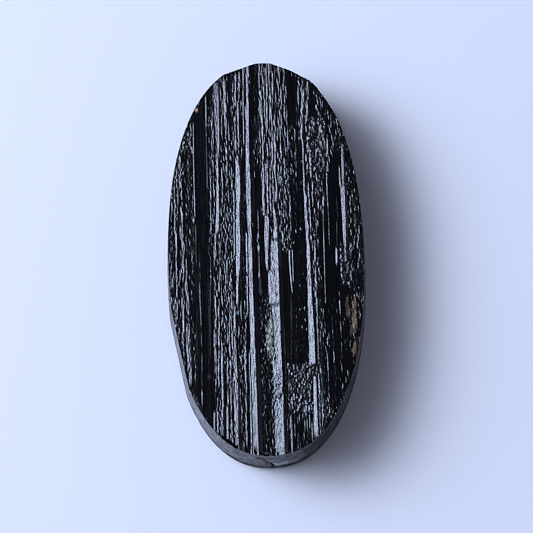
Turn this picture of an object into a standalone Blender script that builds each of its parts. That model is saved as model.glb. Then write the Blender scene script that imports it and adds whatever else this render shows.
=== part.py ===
"""Oval slab of black tourmaline with its raw striated prism face on top.

The slab lies on its flat ground base. X runs across the oval, Y along it and
along the striations, Z up. The origin is on the base, in the middle of the oval.
"""
import math

import bmesh
import bpy
import numpy as np

MM = 0.001

# The oval, at its widest just above the base.
HALF_WIDTH = 10.0
HALF_LENGTH = 20.28
OVAL_POWER = 2.27
OUTLINE_POINTS = 144
# Flats ground on the oval: direction they face, in degrees from +X, and distance from the middle.
FLATS = [
    (31.3, 14.07),
    (60.9, 18.43),
    (68.5, 19.18),
    (109.0, 19.39),
    (191.4, 10.63),
]

# The ground wall leans in from the base up to the raw top, above a small bevel.
WALL_LEAN = 0.35
EDGE_HEIGHT = 6.3
BASE_BEVEL = 0.25

# The raw top: a low crown across the slab, falling a little towards both ends.
CROWN_HEIGHT = 6.72
CROWN_DROP_SIDES = 0.46
CROWN_POWER_SIDES = 2.4
CROWN_DROP_ENDS = 0.24
CROWN_POWER_ENDS = 3.0
RAW_MARGIN = 1.2
ROW_SPACING = 0.80
RIDGE_END_LENGTH = 0.5
CLOSEST_COLUMNS = 0.07
PIT_COLUMN_SPACING = 0.34
PIT_FADE = 1.6

# Ridges that run along Y: left foot, crest, right foot, lower end, upper end, rise.
RIDGES = [
    (-9.05, -8.72, -8.35, -6.0, 7.5, 0.12),
    (-8.30, -8.02, -7.90, -2.3, 6.2, 0.11),
    (-8.05, -7.60, -7.20, -12.6, -2.5, 0.17),
    (-7.12, -6.90, -5.60, 3.8, 14.2, 0.12),
    (-6.75, -6.50, -5.60, -15.0, -2.3, 0.09),
    (-5.30, -5.05, -4.88, -12.4, -4.0, 0.10),
    (-4.90, -4.40, -4.00, 10.0, 18.4, 0.21),
    (-4.88, -4.57, -4.25, 1.8, 10.0, 0.15),
    (-4.68, -4.42, -4.20, -15.8, -9.5, 0.11),
    (-3.95, -3.60, -3.20, 8.8, 18.9, 0.15),
    (-4.18, -3.96, -3.80, -19.3, -10.6, 0.10),
    (-2.85, -2.40, -2.00, 6.0, 19.3, 0.18),
    (-3.00, -2.50, -2.10, -2.6, 6.0, 0.22),
    (-3.45, -3.05, -2.30, -19.7, -2.6, 0.19),
    (-1.80, -1.35, -0.55, -20.4, 20.4, 0.22),
    (-0.28, 0.02, 0.22, 4.3, 17.2, 0.13),
    (-0.10, 0.35, 0.55, -1.2, 4.3, 0.18),
    (0.55, 1.25, 1.95, -20.4, 2.0, 0.30),
    (0.85, 1.25, 1.65, 2.0, 11.2, 0.17),
    (0.30, 0.48, 0.62, 9.8, 20.4, 0.08),
    (0.66, 0.90, 1.02, 9.8, 20.4, 0.10),
    (1.45, 1.66, 1.86, 5.8, 11.2, 0.08),
    (1.72, 1.95, 2.30, 11.2, 18.8, 0.10),
    (2.25, 2.52, 3.10, -3.2, 6.2, 0.11),
    (1.92, 2.15, 2.95, -20.4, -16.0, 0.10),
    (1.98, 2.22, 2.60, -11.6, -5.2, 0.06),
    (3.42, 3.62, 3.80, -19.4, -14.6, 0.08),
    (3.60, 4.00, 4.30, 8.0, 17.8, 0.17),
    (4.00, 4.42, 4.75, -10.6, 7.6, 0.19),
    (4.30, 4.66, 4.78, -18.4, -12.2, 0.16),
    (4.78, 4.98, 5.55, -18.0, 2.6, 0.10),
    (5.60, 5.82, 6.15, -5.0, 7.0, 0.10),
    (5.65, 5.86, 6.30, -14.9, -8.6, 0.08),
    (6.15, 6.30, 7.05, 1.0, 8.2, 0.07),
    (6.25, 6.47, 7.30, 8.2, 12.2, 0.11),
    (7.02, 7.25, 7.95, -9.0, -3.5, 0.10),
    (7.50, 8.00, 8.65, -0.9, 11.2, 0.22),
]

# Long furrows between them: left edge, floor, right edge, lower end, upper end, depth.
FURROWS = [
    (-6.90, -6.10, -5.35, -16.5, 16.0, 0.10),
    (-1.30, -0.62, -0.12, -20.4, 20.4, 0.15),
    (2.70, 3.20, 3.70, 5.0, 18.6, 0.08),
    (2.85, 3.35, 4.00, -11.0, 5.0, 0.10),
    (6.40, 6.90, 7.45, -3.0, 15.0, 0.09),
]

# Pitted patches: middle in X and Y, half width, half length, depth of the pits.
DEEPLY_PITTED = [
    (2.80, -13.6, 1.50, 2.7, 0.13),
    (0.95, -13.6, 0.50, 1.9, 0.10),
    (5.25, 11.6, 0.95, 2.7, 0.13),
]
LIGHTLY_PITTED = [
    (-3.70, 1.0, 0.70, 8.0, 0.07),
    (-7.70, 11.6, 0.50, 1.2, 0.08),
    (8.00, -1.6, 0.60, 1.6, 0.10),
]
PIT_SEED = 11

STONE_COLOUR = (0.012, 0.012, 0.014, 1.0)
STONE_ROUGHNESS = 0.24
STONE_IOR = 1.63


def clear_scene():
    """Empty the scene."""
    for thing in list(bpy.data.objects):
        bpy.data.objects.remove(thing, do_unlink=True)


def make_collection(name):
    """Add a collection to the scene."""
    collection = bpy.data.collections.new(name)
    bpy.context.scene.collection.children.link(collection)
    return collection


def move_to(thing, collection):
    """Keep an object in one collection only."""
    for owner in list(thing.users_collection):
        owner.objects.unlink(thing)
    collection.objects.link(thing)


def oval_radius(angle, inset):
    """Distance from the middle to the oval, drawn in by an inset, in one direction."""
    across = abs(math.cos(angle)) / (HALF_WIDTH - inset)
    along = abs(math.sin(angle)) / (HALF_LENGTH - inset)
    radius = (across ** OVAL_POWER + along ** OVAL_POWER) ** (-1.0 / OVAL_POWER)
    for facing, distance in FLATS:
        cosine = math.cos(angle - math.radians(facing))
        if cosine > 0.0:
            radius = min(radius, (distance - inset) / cosine)
    return radius


def oval_ring(inset):
    """Points of the oval, evenly spread along its sides and ends."""
    points = []
    for index in range(OUTLINE_POINTS):
        turn = 2.0 * math.pi * index / OUTLINE_POINTS
        angle = math.atan2(HALF_LENGTH * math.sin(turn), HALF_WIDTH * math.cos(turn))
        radius = oval_radius(angle, inset)
        points.append((radius * math.cos(angle), radius * math.sin(angle)))
    return points


def place_ring(verts, height, inset):
    """Lay a loop of vertices along the oval at one height."""
    by_angle = sorted(verts, key=lambda vert: math.atan2(vert.co.y, vert.co.x) % (2.0 * math.pi))
    for vert, (x, y) in zip(by_angle, oval_ring(inset)):
        vert.co = (x * MM, y * MM, height * MM)


def grow_edges(shape, edges):
    """Extrude a loop of edges, and give its new edges and vertices."""
    grown = bmesh.ops.extrude_edge_only(shape, edges=edges)["geom"]
    new_edges = [item for item in grown if isinstance(item, bmesh.types.BMEdge)]
    new_verts = [item for item in grown if isinstance(item, bmesh.types.BMVert)]
    return new_edges, new_verts


def close_and_keep(shape, rim, thing):
    """Close a body over its open rim and store it in its object."""
    bmesh.ops.contextual_create(shape, geom=rim)
    bmesh.ops.recalc_face_normals(shape, faces=shape.faces)
    shape.to_mesh(thing.data)
    shape.free()


def make_oval_prism(collection):
    """Oval body with the bevel at its base and the wall leaning in upwards."""
    bpy.ops.mesh.primitive_circle_add(vertices=OUTLINE_POINTS, radius=1.0, fill_type="NGON")
    prism = bpy.context.object
    prism.name = "oval_prism"
    shape = bmesh.new()
    shape.from_mesh(prism.data)
    edges = list(shape.edges)
    place_ring(shape.verts, 0.0, BASE_BEVEL)
    edges, verts = grow_edges(shape, edges)
    place_ring(verts, BASE_BEVEL, 0.0)
    edges, verts = grow_edges(shape, edges)
    top = CROWN_HEIGHT + RAW_MARGIN
    place_ring(verts, top, WALL_LEAN * (top - BASE_BEVEL) / EDGE_HEIGHT)
    close_and_keep(shape, edges, prism)
    prism.display_type = "WIRE"
    prism.hide_render = True
    move_to(prism, collection)
    return prism


def end_fade(y, lower, upper):
    """One along a ridge, dropping to nothing at both of its ends."""
    return np.clip(np.minimum(y - lower, upper - y) / RIDGE_END_LENGTH, 0.0, 1.0)


def add_folds(height, x, y, folds, sign):
    """Add three-line folds that run along Y to a height field."""
    for left, middle, right, lower, upper, size in folds:
        rising = (x - left) / (middle - left)
        falling = (right - x) / (right - middle)
        height += sign * size * np.clip(np.minimum(rising, falling), 0.0, 1.0) * end_fade(y, lower, upper)
    return height


def top_height(x, y):
    """Height of the raw top in mm."""
    height = CROWN_HEIGHT - CROWN_DROP_SIDES * (np.abs(x) / HALF_WIDTH) ** CROWN_POWER_SIDES
    height = height - CROWN_DROP_ENDS * (np.abs(y) / HALF_LENGTH) ** CROWN_POWER_ENDS
    height = add_folds(height, x, y, RIDGES, 1.0)
    height = add_folds(height, x, y, FURROWS, -1.0)
    chance = np.random.default_rng(PIT_SEED)
    for middle_x, middle_y, half_width, half_length, depth in DEEPLY_PITTED + LIGHTLY_PITTED:
        from_middle = np.hypot((x - middle_x) / half_width, (y - middle_y) / half_length)
        height -= depth * chance.random(x.shape) * np.clip(PIT_FADE * (1.0 - from_middle), 0.0, 1.0)
    return height


def fold_columns():
    """Positions across the slab of every crest, then of every foot and floor that is clear of them."""
    reach = HALF_WIDTH + RAW_MARGIN
    crests = sorted(fold[1] for fold in RIDGES)
    others = [-reach, reach]
    for fold in RIDGES + FURROWS:
        others.extend(fold[:3])
    for middle_x, _, half_width, _, _ in DEEPLY_PITTED:
        others.extend(np.arange(middle_x - half_width, middle_x + half_width, PIT_COLUMN_SPACING))
    columns = []
    for line in crests + sorted(others):
        if all(abs(line - other) > CLOSEST_COLUMNS for other in columns):
            columns.append(float(line))
    return np.array(sorted(columns))


def make_raw_block(collection):
    """Block whose upper side is the raw striated face."""
    columns = fold_columns()
    reach = HALF_LENGTH + RAW_MARGIN
    rows = np.linspace(-reach, reach, int(2.0 * reach / ROW_SPACING) + 1)
    bpy.ops.mesh.primitive_grid_add(
        x_subdivisions=len(columns) - 1, y_subdivisions=len(rows) - 1, size=2.0)
    block = bpy.context.object
    block.name = "tourmaline_crystal"
    grid = np.empty(len(block.data.vertices) * 3)
    block.data.vertices.foreach_get("co", grid)
    across, along, _ = (grid.reshape(-1, 3).T + 1.0) / 2.0
    x = columns[np.rint(across * (len(columns) - 1)).astype(int)]
    y = rows[np.rint(along * (len(rows) - 1)).astype(int)]
    placed = np.stack([x, y, top_height(x, y)], axis=1) * MM
    block.data.vertices.foreach_set("co", placed.ravel())
    shape = bmesh.new()
    shape.from_mesh(block.data)
    bmesh.ops.triangulate(shape, faces=shape.faces)
    rim, verts = grow_edges(shape, [edge for edge in shape.edges if edge.is_boundary])
    for vert in verts:
        vert.co.z = -RAW_MARGIN * MM
    close_and_keep(shape, rim, block)
    move_to(block, collection)
    return block


def stone_material():
    """Glossy black stone."""
    material = bpy.data.materials.new("black_tourmaline")
    material.use_nodes = True
    shader = material.node_tree.nodes["Principled BSDF"]
    shader.inputs["Base Color"].default_value = STONE_COLOUR
    shader.inputs["Roughness"].default_value = STONE_ROUGHNESS
    shader.inputs["IOR"].default_value = STONE_IOR
    return material


def build():
    """Cut the oval out of the raw block."""
    clear_scene()
    crystal_parts = make_collection("tourmaline_crystal")
    cutters = make_collection("cutters")
    prism = make_oval_prism(cutters)
    block = make_raw_block(crystal_parts)
    cut = block.modifiers.new("oval", "BOOLEAN")
    cut.operation = "INTERSECT"
    cut.solver = "EXACT"
    cut.object = prism
    block.data.materials.append(stone_material())


build()
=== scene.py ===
"""Looks of the oval tourmaline slab: fine raw top, ground wall, paper, window light and camera.

Places on the stone are in millimetres in the part's frame: X across the oval, Y along
its length and its striations, Z up from the flat base.
"""

import math

import bpy
import numpy as np
from mathutils import Matrix, Vector


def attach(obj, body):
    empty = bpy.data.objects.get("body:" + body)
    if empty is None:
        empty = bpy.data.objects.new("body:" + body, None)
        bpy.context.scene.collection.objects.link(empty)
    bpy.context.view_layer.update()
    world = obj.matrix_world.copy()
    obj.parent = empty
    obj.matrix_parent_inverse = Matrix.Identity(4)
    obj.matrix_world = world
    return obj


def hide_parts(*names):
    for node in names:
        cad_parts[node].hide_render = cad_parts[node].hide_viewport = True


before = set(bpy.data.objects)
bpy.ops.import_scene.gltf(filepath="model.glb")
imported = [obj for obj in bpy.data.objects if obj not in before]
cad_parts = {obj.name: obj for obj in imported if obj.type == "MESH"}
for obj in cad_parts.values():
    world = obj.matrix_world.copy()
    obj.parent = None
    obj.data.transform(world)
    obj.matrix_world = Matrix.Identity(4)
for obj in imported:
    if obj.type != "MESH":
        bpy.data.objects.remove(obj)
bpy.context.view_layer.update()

MM = 0.001

# The oval and its wall, as built.
HALF_WIDTH = 10.0
HALF_LENGTH = 20.28
OVAL_POWER = 2.27
# Flattened stretches of the outline: facing in degrees, distance from the middle.
FLATS = [
    (31.3, 14.07),
    (60.9, 18.43),
    (68.5, 19.18),
    (109.0, 19.39),
    (191.4, 10.63),
]
WALL_LEAN = 0.35
EDGE_HEIGHT = 6.3
FOOT_HEIGHT = 0.6
FOOT_INSET = 0.32
TOP_INSET = WALL_LEAN * (EDGE_HEIGHT - FOOT_HEIGHT) / EDGE_HEIGHT

# The crown under the ridges.
CROWN_HEIGHT = 6.53
CROWN_DROP_LEFT = 0.04
CROWN_DROP_RIGHT = 0.36
CROWN_POWER_SIDES = 2.4
CROWN_DROP_ENDS = 0.24
CROWN_POWER_ENDS = 3.0

# Fineness of the mesh: columns of points across the top, over nearly its whole width.
COLUMNS = 466
TOP_REACH = 0.9996
# Spacing of the finest rows. Every one is used where broken cells are at most as long as the
# second length, every other one up to the first length, and every fourth elsewhere.
ROW_STEP = 0.10
CELLS_FOR_HALF = 0.9
CELLS_FOR_FINEST = 0.36
COARSE_STRIDE = 4
END_GAP = 0.6 * ROW_STEP
# Heights of the rings of points down the wall, and the least gap between them under a bite.
WALL_HEIGHTS = [5.9, 5.5, 5.1, 4.7, 4.3, 3.8, 3.35, 2.9, 2.5, 2.1, 1.7, 1.4, 1.1, 0.6, 0.35, 0.15, 0.0]
RING_GAP = 0.05

# Ridges. Each has the tilt of its left face in degrees, the width of its steep right side,
# and its path: places along Y with the left foot and the crest there.
LEFT_RIDGES = [
    (11, 0.25, [(7.4, -8.98, -8.86), (4.0, -9.0, -8.86), (2.0, -9.02, -8.78), (0.0, -8.95, -8.78),
                (-3.0, -8.92, -8.8), (-5.6, -8.93, -8.82)]),
    (9, 0.12, [(9.0, -8.72, -8.62), (6.0, -8.72, -8.6), (3.0, -8.72, -8.6)]),
    (11, 0.12, [(8.4, -8.45, -8.32), (6.0, -8.35, -8.17), (4.0, -8.33, -8.14), (2.5, -8.25, -8.12),
                (1.0, -8.26, -8.04), (-1.0, -8.28, -8.07), (-2.5, -8.25, -8.12)]),
    (10, 0.12, [(-3.0, -8.38, -8.18), (-6.0, -8.42, -8.15), (-8.0, -8.45, -8.2), (-10.0, -8.6, -8.2),
                (-11.9, -8.55, -8.2)]),
    (7, 0.08, [(-8.6, -8.95, -8.74), (-10.0, -8.95, -8.74), (-11.2, -8.9, -8.74)]),
    (10, 0.15, [(0.0, -7.98, -7.82), (-2.6, -7.98, -7.8), (-3.5, -7.98, -7.7), (-5.0, -8.0, -7.62),
                (-5.9, -7.98, -7.64)]),
    (16, 0.1, [(-5.9, -8.08, -7.96), (-6.1, -7.92, -7.78), (-6.3, -7.74, -7.6), (-6.5, -7.6, -7.46)]),
    (10, 0.15, [(-6.6, -8.0, -7.64), (-8.0, -8.05, -7.62), (-10.0, -7.98, -7.56), (-12.0, -7.98, -7.52),
                (-12.9, -7.85, -7.5)]),
    (10, 0.1, [(14.2, -7.28, -7.17), (12.5, -7.25, -7.14)]),
    (12, 0.2, [(13.7, -6.98, -6.91), (10.0, -7.02, -6.93), (7.0, -7.02, -6.92), (4.0, -6.98, -6.87)]),
    (18, 0.1, [(4.0, -7.14, -6.99), (3.6, -7.16, -7.0)]),
    (8, 0.1, [(3.3, -6.93, -6.86), (0.0, -6.93, -6.85), (-0.8, -6.92, -6.86)]),
    (13, 0.1, [(16.7, -5.72, -5.58), (14.0, -5.72, -5.6), (13.5, -5.72, -5.62)]),
    (7, 0.12, [(13.5, -5.71, -5.61), (7.0, -5.7, -5.6)]),
    (9, 0.08, [(8.3, -5.36, -5.24), (5.0, -5.42, -5.29), (3.0, -5.43, -5.29), (2.4, -5.43, -5.31)]),
    (12, 0.1, [(-0.75, -6.58, -6.48), (-1.05, -6.58, -6.48)]),
    (12, 0.1, [(-1.6, -6.58, -6.48), (-2.0, -6.58, -6.48)]),
    (10, 0.12, [(-2.6, -6.62, -6.5), (-3.7, -6.65, -6.53), (-5.0, -6.6, -6.48), (-7.0, -6.57, -6.45)]),
    (8, 0.12, [(-7.6, -6.56, -6.46), (-9.0, -6.54, -6.46)]),
    (8, 0.12, [(-9.6, -6.57, -6.45), (-11.5, -6.55, -6.45)]),
    (5, 0.12, [(-11.5, -6.55, -6.45), (-13.1, -6.57, -6.47)]),
    (14, 0.12, [(-13.3, -6.6, -6.48), (-14.8, -6.58, -6.48)]),
    (5, 0.12, [(0.0, -5.52, -5.4), (-5.0, -5.65, -5.5), (-10.0, -5.7, -5.55)]),
    (6, 0.1, [(15.5, -5.2, -4.92), (12.0, -5.15, -4.92), (9.0, -5.1, -4.95), (6.0, -5.05, -4.95)]),
    (12, 0.14, [(18.2, -4.82, -4.38), (16.0, -4.84, -4.37), (14.0, -4.86, -4.37), (12.0, -4.74, -4.38),
                (10.3, -4.72, -4.45)]),
    (11, 0.14, [(16.6, -4.46, -4.37), (14.0, -4.46, -4.37), (12.0, -4.47, -4.38), (10.3, -4.54, -4.45)]),
    (23, 0.14, [(10.0, -4.73, -4.54), (8.0, -4.72, -4.55), (6.0, -4.76, -4.55), (4.5, -4.8, -4.55),
                (3.4, -4.88, -4.57), (2.4, -4.96, -4.67)]),
    (20, 0.1, [(2.4, -5.0, -4.86), (1.4, -5.0, -4.86), (0.0, -4.98, -4.86)]),
    (14, 0.1, [(1.8, -4.52, -4.42), (0.2, -4.55, -4.42)]),
    (16, 0.1, [(8.0, -4.2, -4.1), (5.0, -4.22, -4.12)]),
    (13, 0.1, [(1.2, -5.15, -5.0), (-0.6, -5.2, -5.0)]),
    (12, 0.1, [(-2.0, -5.22, -5.08), (-4.0, -5.16, -5.02), (-6.0, -5.18, -5.02)]),
    (11, 0.1, [(-6.2, -5.2, -5.04), (-8.0, -5.28, -5.06), (-10.0, -5.28, -5.06), (-12.0, -5.2, -5.05)]),
    (12, 0.1, [(-2.0, -4.72, -4.6), (-5.0, -4.75, -4.62), (-7.0, -4.88, -4.7), (-9.0, -4.88, -4.7)]),
    (22, 0.1, [(-4.0, -4.48, -4.36), (-5.0, -4.48, -4.36)]),
    (17, 0.1, [(-10.3, -4.95, -4.8), (-12.0, -4.95, -4.82), (-13.2, -4.92, -4.82)]),
    (15, 0.1, [(-8.7, -4.6, -4.46), (-11.0, -4.64, -4.44), (-14.0, -4.62, -4.42), (-15.5, -4.55, -4.42)]),
    (15, 0.1, [(-15.5, -5.44, -5.28), (-17.4, -5.46, -5.3)]),
    (20, 0.1, [(-15.5, -5.12, -4.99), (-17.7, -5.1, -4.99)]),
    (14, 0.1, [(-15.3, -4.78, -4.5), (-17.9, -4.78, -4.52)]),
]

MIDDLE_RIDGES = [
    (14, 0.1, [(18.4, -3.9, -3.66), (16.0, -3.88, -3.6), (14.0, -3.84, -3.6), (12.0, -3.82, -3.68)]),
    (11, 0.08, [(18.6, -3.56, -3.42), (15.0, -3.58, -3.45)]),
    (17, 0.1, [(13.8, -3.45, -3.35), (11.9, -3.45, -3.35)]),
    (13, 0.1, [(14.6, -4.12, -4.05), (12.0, -4.1, -4.02)]),
    (14, 0.1, [(11.3, -3.75, -3.62), (9.5, -3.75, -3.62), (7.2, -3.65, -3.55), (6.0, -3.65, -3.55)]),
    (15, 0.1, [(10.4, -3.3, -3.2), (9.0, -3.33, -3.22)]),
    (16, 0.1, [(8.6, -3.3, -3.19), (7.1, -3.28, -3.14)]),
    (14, 0.1, [(4.6, -3.58, -3.5), (3.0, -3.6, -3.5)]),
    (12, 0.1, [(-2.0, -3.54, -3.42), (-4.0, -3.54, -3.4), (-6.0, -3.52, -3.38)]),
    (17, 0.1, [(-6.9, -3.8, -3.69), (-9.4, -3.85, -3.73)]),
    (17, 0.1, [(-6.5, -3.58, -3.48), (-9.4, -3.52, -3.42)]),
    (16, 0.1, [(-10.2, -4.06, -3.92), (-13.0, -4.05, -3.92), (-14.8, -4.07, -3.95)]),
    (12, 0.06, [(-10.5, -3.82, -3.52), (-12.5, -3.82, -3.58), (-14.5, -3.84, -3.68)]),
    (16, 0.1, [(-15.0, -4.18, -4.0), (-17.0, -4.2, -4.0), (-18.9, -4.22, -4.04)]),
    (15, 0.1, [(-13.0, -3.74, -3.62), (-16.0, -3.82, -3.68)]),
    (18, 0.1, [(-16.4, -3.76, -3.6), (-19.1, -3.76, -3.62)]),
    (16, 0.1, [(19.0, -2.7, -2.6), (18.0, -2.72, -2.6), (16.5, -2.8, -2.64)]),
    (13, 0.1, [(19.1, -2.3, -2.2), (18.0, -2.4, -2.16), (17.3, -2.4, -2.12)]),
    (13, 0.1, [(17.3, -2.35, -2.2), (15.8, -2.5, -2.35), (14.5, -2.55, -2.38)]),
    (24, 0.16, [(15.6, -2.53, -2.42), (14.0, -2.52, -2.4), (12.0, -2.52, -2.41), (11.0, -2.58, -2.44)]),
    (13, 0.1, [(14.5, -2.85, -2.68), (12.0, -2.85, -2.72), (10.5, -2.75, -2.62)]),
    (24, 0.18, [(10.4, -2.72, -2.57), (9.0, -2.78, -2.44), (8.0, -2.83, -2.38), (6.5, -2.8, -2.38),
                (5.0, -2.82, -2.52), (4.0, -2.9, -2.52), (2.0, -2.93, -2.5), (0.0, -2.95, -2.54),
                (-1.2, -2.93, -2.62), (-3.0, -2.97, -2.79), (-4.8, -3.02, -2.84)]),
    (16, 0.18, [(-5.0, -3.34, -3.12), (-7.0, -3.35, -3.12), (-9.0, -3.32, -3.12), (-10.5, -3.42, -3.1),
                (-12.0, -3.4, -3.02), (-14.0, -3.4, -3.02), (-16.0, -3.42, -3.04), (-20.0, -3.45, -3.06)]),
    (14, 0.1, [(-7.0, -2.9, -2.77), (-8.3, -2.9, -2.77)]),
    (17, 0.1, [(6.8, -3.1, -2.96), (5.0, -3.1, -2.98), (2.0, -3.13, -3.02), (0.0, -3.12, -3.0)]),
    (15, 0.1, [(20.0, -1.93, -1.72), (17.5, -1.94, -1.76), (15.5, -1.97, -1.86), (11.5, -1.98, -1.9)]),
    (22, 0.45, [(20.5, -1.52, -1.3), (16.0, -1.6, -1.36), (13.0, -1.68, -1.42), (10.0, -1.75, -1.43),
                (7.0, -1.77, -1.4), (4.0, -1.77, -1.38), (2.5, -1.68, -1.38), (0.0, -1.68, -1.36),
                (-3.0, -1.68, -1.34), (-6.0, -1.7, -1.3), (-11.0, -1.68, -1.24), (-15.0, -1.7, -1.18),
                (-20.5, -1.72, -1.14)]),
    (22, 0.08, [(2.4, -1.92, -1.81), (0.0, -1.93, -1.81), (-5.7, -1.96, -1.86)]),
    (22, 0.08, [(-5.7, -2.0, -1.88), (-6.0, -2.14, -1.98), (-6.3, -2.24, -2.1)]),
    (16, 0.1, [(-9.0, -2.3, -2.15), (-14.0, -2.3, -2.16), (-19.0, -2.33, -2.2)]),
    (17, 0.06, [(-9.8, -1.88, -1.79), (-12.2, -1.88, -1.79)]),
    (22, 0.06, [(-12.2, -1.83, -1.74), (-20.5, -1.88, -1.76)]),
    (10, 0.08, [(14.0, -1.3, -1.22), (10.0, -1.28, -1.2)]),
    (14, 0.08, [(8.2, -1.26, -1.18), (4.0, -1.26, -1.2)]),
    (18, 0.08, [(9.2, -1.2, -1.08), (8.8, -1.05, -0.95), (8.1, -0.95, -0.86)]),
    (10, 0.1, [(4.6, -0.72, -0.64), (0.0, -0.72, -0.64), (-1.9, -0.7, -0.62)]),
    (24, 0.1, [(2.2, -0.76, -0.64), (1.9, -0.76, -0.64)]),
    (24, 0.1, [(1.6, -0.84, -0.74), (1.3, -0.86, -0.76)]),
    (24, 0.1, [(0.95, -0.78, -0.62), (0.55, -0.76, -0.6)]),
    (24, 0.1, [(-1.95, -0.76, -0.6), (-2.15, -0.76, -0.6)]),
    (16, 0.1, [(20.5, -0.3, -0.16), (17.3, -0.3, -0.18)]),
    (22, 0.1, [(17.2, -0.28, -0.18), (16.6, -0.25, -0.08), (15.0, -0.27, -0.04), (13.9, -0.2, 0.0)]),
    (24, 0.08, [(13.5, -0.1, 0.02), (11.0, -0.08, 0.04), (9.2, -0.12, 0.0), (7.5, -0.17, 0.0),
                (6.0, -0.22, 0.0), (4.8, -0.18, 0.03), (4.2, -0.08, 0.06)]),
    (12, 0.06, [(13.5, -0.33, -0.25), (10.5, -0.34, -0.26)]),
    (15, 0.1, [(20.5, 0.04, 0.14), (18.8, 0.0, 0.12), (17.4, 0.08, 0.18)]),
    (22, 0.1, [(20.5, 0.42, 0.54), (17.0, 0.41, 0.53), (13.0, 0.38, 0.48)]),
    (24, 0.1, [(11.5, 0.34, 0.45), (10.3, 0.34, 0.46)]),
    (20, 0.1, [(20.5, 0.68, 0.8), (17.0, 0.72, 0.83), (14.0, 0.84, 0.94)]),
    (20, 0.08, [(13.6, 0.84, 0.95), (10.0, 0.84, 0.95), (9.3, 0.8, 0.9)]),
    (20, 0.1, [(14.4, 1.12, 1.24), (12.0, 1.1, 1.22), (11.0, 1.14, 1.28), (9.0, 1.05, 1.2),
                (7.0, 1.1, 1.26), (5.5, 1.04, 1.28)]),
    (16, 0.1, [(19.6, 1.0, 1.12), (17.0, 1.05, 1.15)]),
    (11, 0.1, [(13.2, 1.6, 1.8), (10.0, 1.6, 1.8), (7.5, 1.6, 1.78)]),
    (16, 0.1, [(10.0, 2.0, 2.12), (7.5, 2.0, 2.12)]),
    (11, 0.1, [(14.0, 2.4, 2.52), (10.0, 2.4, 2.52)]),
    (9, 0.1, [(13.0, 3.14, 3.3), (9.0, 3.12, 3.28)]),
    (26, 0.1, [(16.8, 1.84, 1.98), (16.2, 1.74, 1.88)]),
    (20, 0.1, [(16.2, 1.72, 1.84), (15.5, 1.46, 1.6)]),
    (14, 0.1, [(16.0, 1.82, 1.92), (13.0, 1.82, 1.9)]),
    (15, 0.1, [(17.0, 2.35, 2.5), (16.0, 2.15, 2.35)]),
    (12, 0.1, [(18.8, 2.2, 2.32), (17.0, 2.35, 2.45)]),
    (12, 0.1, [(19.2, 1.78, 1.9), (17.5, 1.55, 1.75)]),
    (19, 0.12, [(4.2, 0.0, 0.3), (3.5, 0.0, 0.42), (2.0, -0.08, 0.35), (0.8, -0.05, 0.28),
                (-0.8, -0.02, 0.2), (-1.5, 0.08, 0.22)]),
    (19, 0.1, [(9.6, 0.28, 0.4), (4.2, 0.26, 0.38)]),
    (17, 0.1, [(9.2, 0.56, 0.68), (7.0, 0.5, 0.62), (4.0, 0.58, 0.68)]),
    (22, 0.12, [(8.0, 0.84, 0.98), (5.5, 0.82, 0.95), (4.8, 0.8, 0.98), (3.0, 0.85, 1.2),
                (1.8, 0.8, 1.2)]),
    (20, 0.3, [(1.6, 0.58, 1.18), (0.0, 0.52, 1.2), (-1.2, 0.5, 1.22), (-1.9, 0.2, 1.22),
                (-3.0, 0.2, 1.24), (-4.8, 0.22, 1.25), (-5.1, 0.45, 1.26), (-8.0, 0.58, 1.28),
                (-11.0, 0.46, 1.32), (-15.0, 0.5, 1.36), (-20.5, 0.48, 1.4)]),
    (6, 0.3, [(1.6, 0.94, 1.18), (-1.2, 0.98, 1.22), (-4.8, 1.0, 1.25), (-8.0, 1.0, 1.28),
               (-11.0, 0.92, 1.32), (-15.0, 0.95, 1.36), (-20.5, 1.02, 1.4)]),
]

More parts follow.
